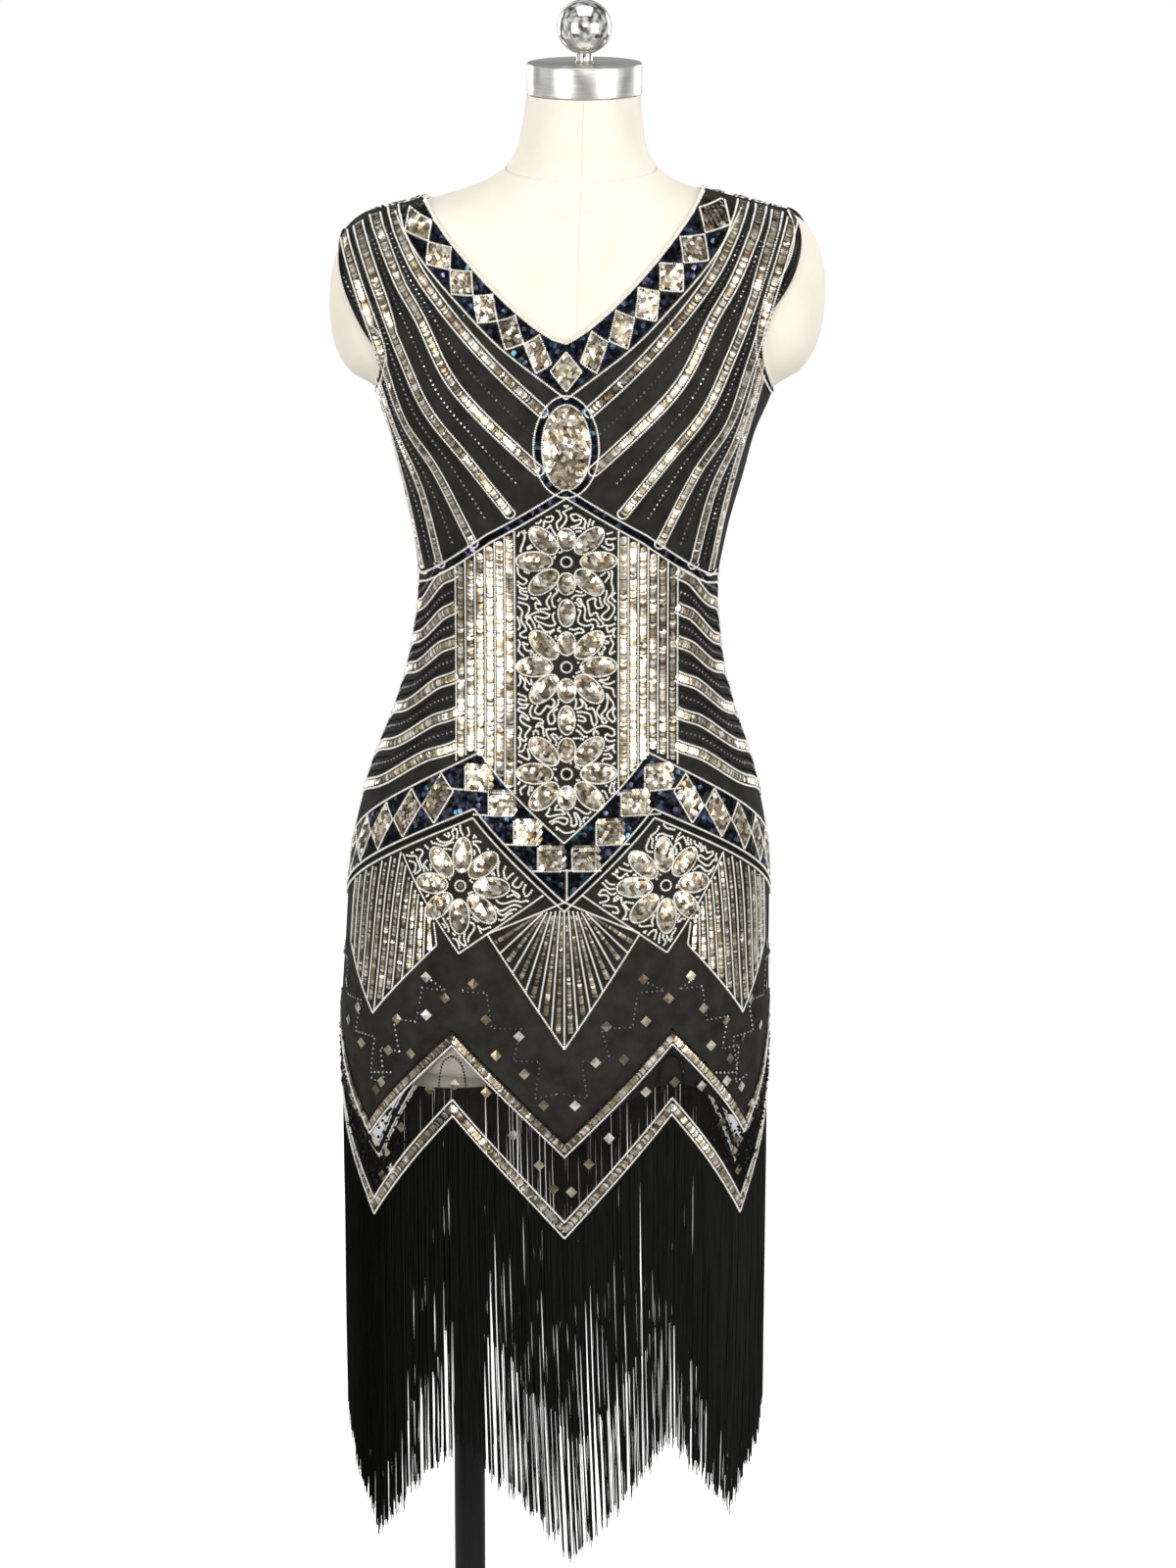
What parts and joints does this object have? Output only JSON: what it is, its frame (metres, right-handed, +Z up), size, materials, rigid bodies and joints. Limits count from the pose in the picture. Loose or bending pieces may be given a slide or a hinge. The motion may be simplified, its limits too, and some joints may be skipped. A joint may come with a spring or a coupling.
{
  "type": "cocktail dress on a dress form",
  "caption": "Sleeveless V-neck beaded cocktail dress with a zigzag hem and long fringe, worn on a limbless torso form with steel neck cap, pole and round base.",
  "frame": {"origin": "middle of the round base's underside, on the floor, below the middle of the shoulders' width", "axes": "+Z up along the pole; the front of the dress faces -Y and the wearer's left is +X"},
  "size_m": [0.3862, 0.32, 1.5101],
  "materials": {
    "beaded_net": "black net covered with sequins and beads",
    "slip_satin": "black satin",
    "fringe_yarn": "black rayon fringe",
    "gold_sequins": "metallised gold sequins",
    "ivory_cover": "stretched ivory jersey",
    "brushed_steel": "brushed",
    "polished_steel": "polished",
    "black_paint": "satin black powder coat"
  },
  "bodies": {
    "root": {"dress_front": "beaded_net", "dress_back": "beaded_net", "slip_lining": "slip_satin", "fringe_front": "fringe_yarn", "fringe_back": "fringe_yarn", "bodice_medallion": "gold_sequins", "form_torso": "ivory_cover", "neck_cap": "brushed_steel", "finial": "polished_steel", "stand_pole": "black_paint", "stand_socket": "black_paint", "stand_base": "black_paint"}
  },
  "joints": []
}
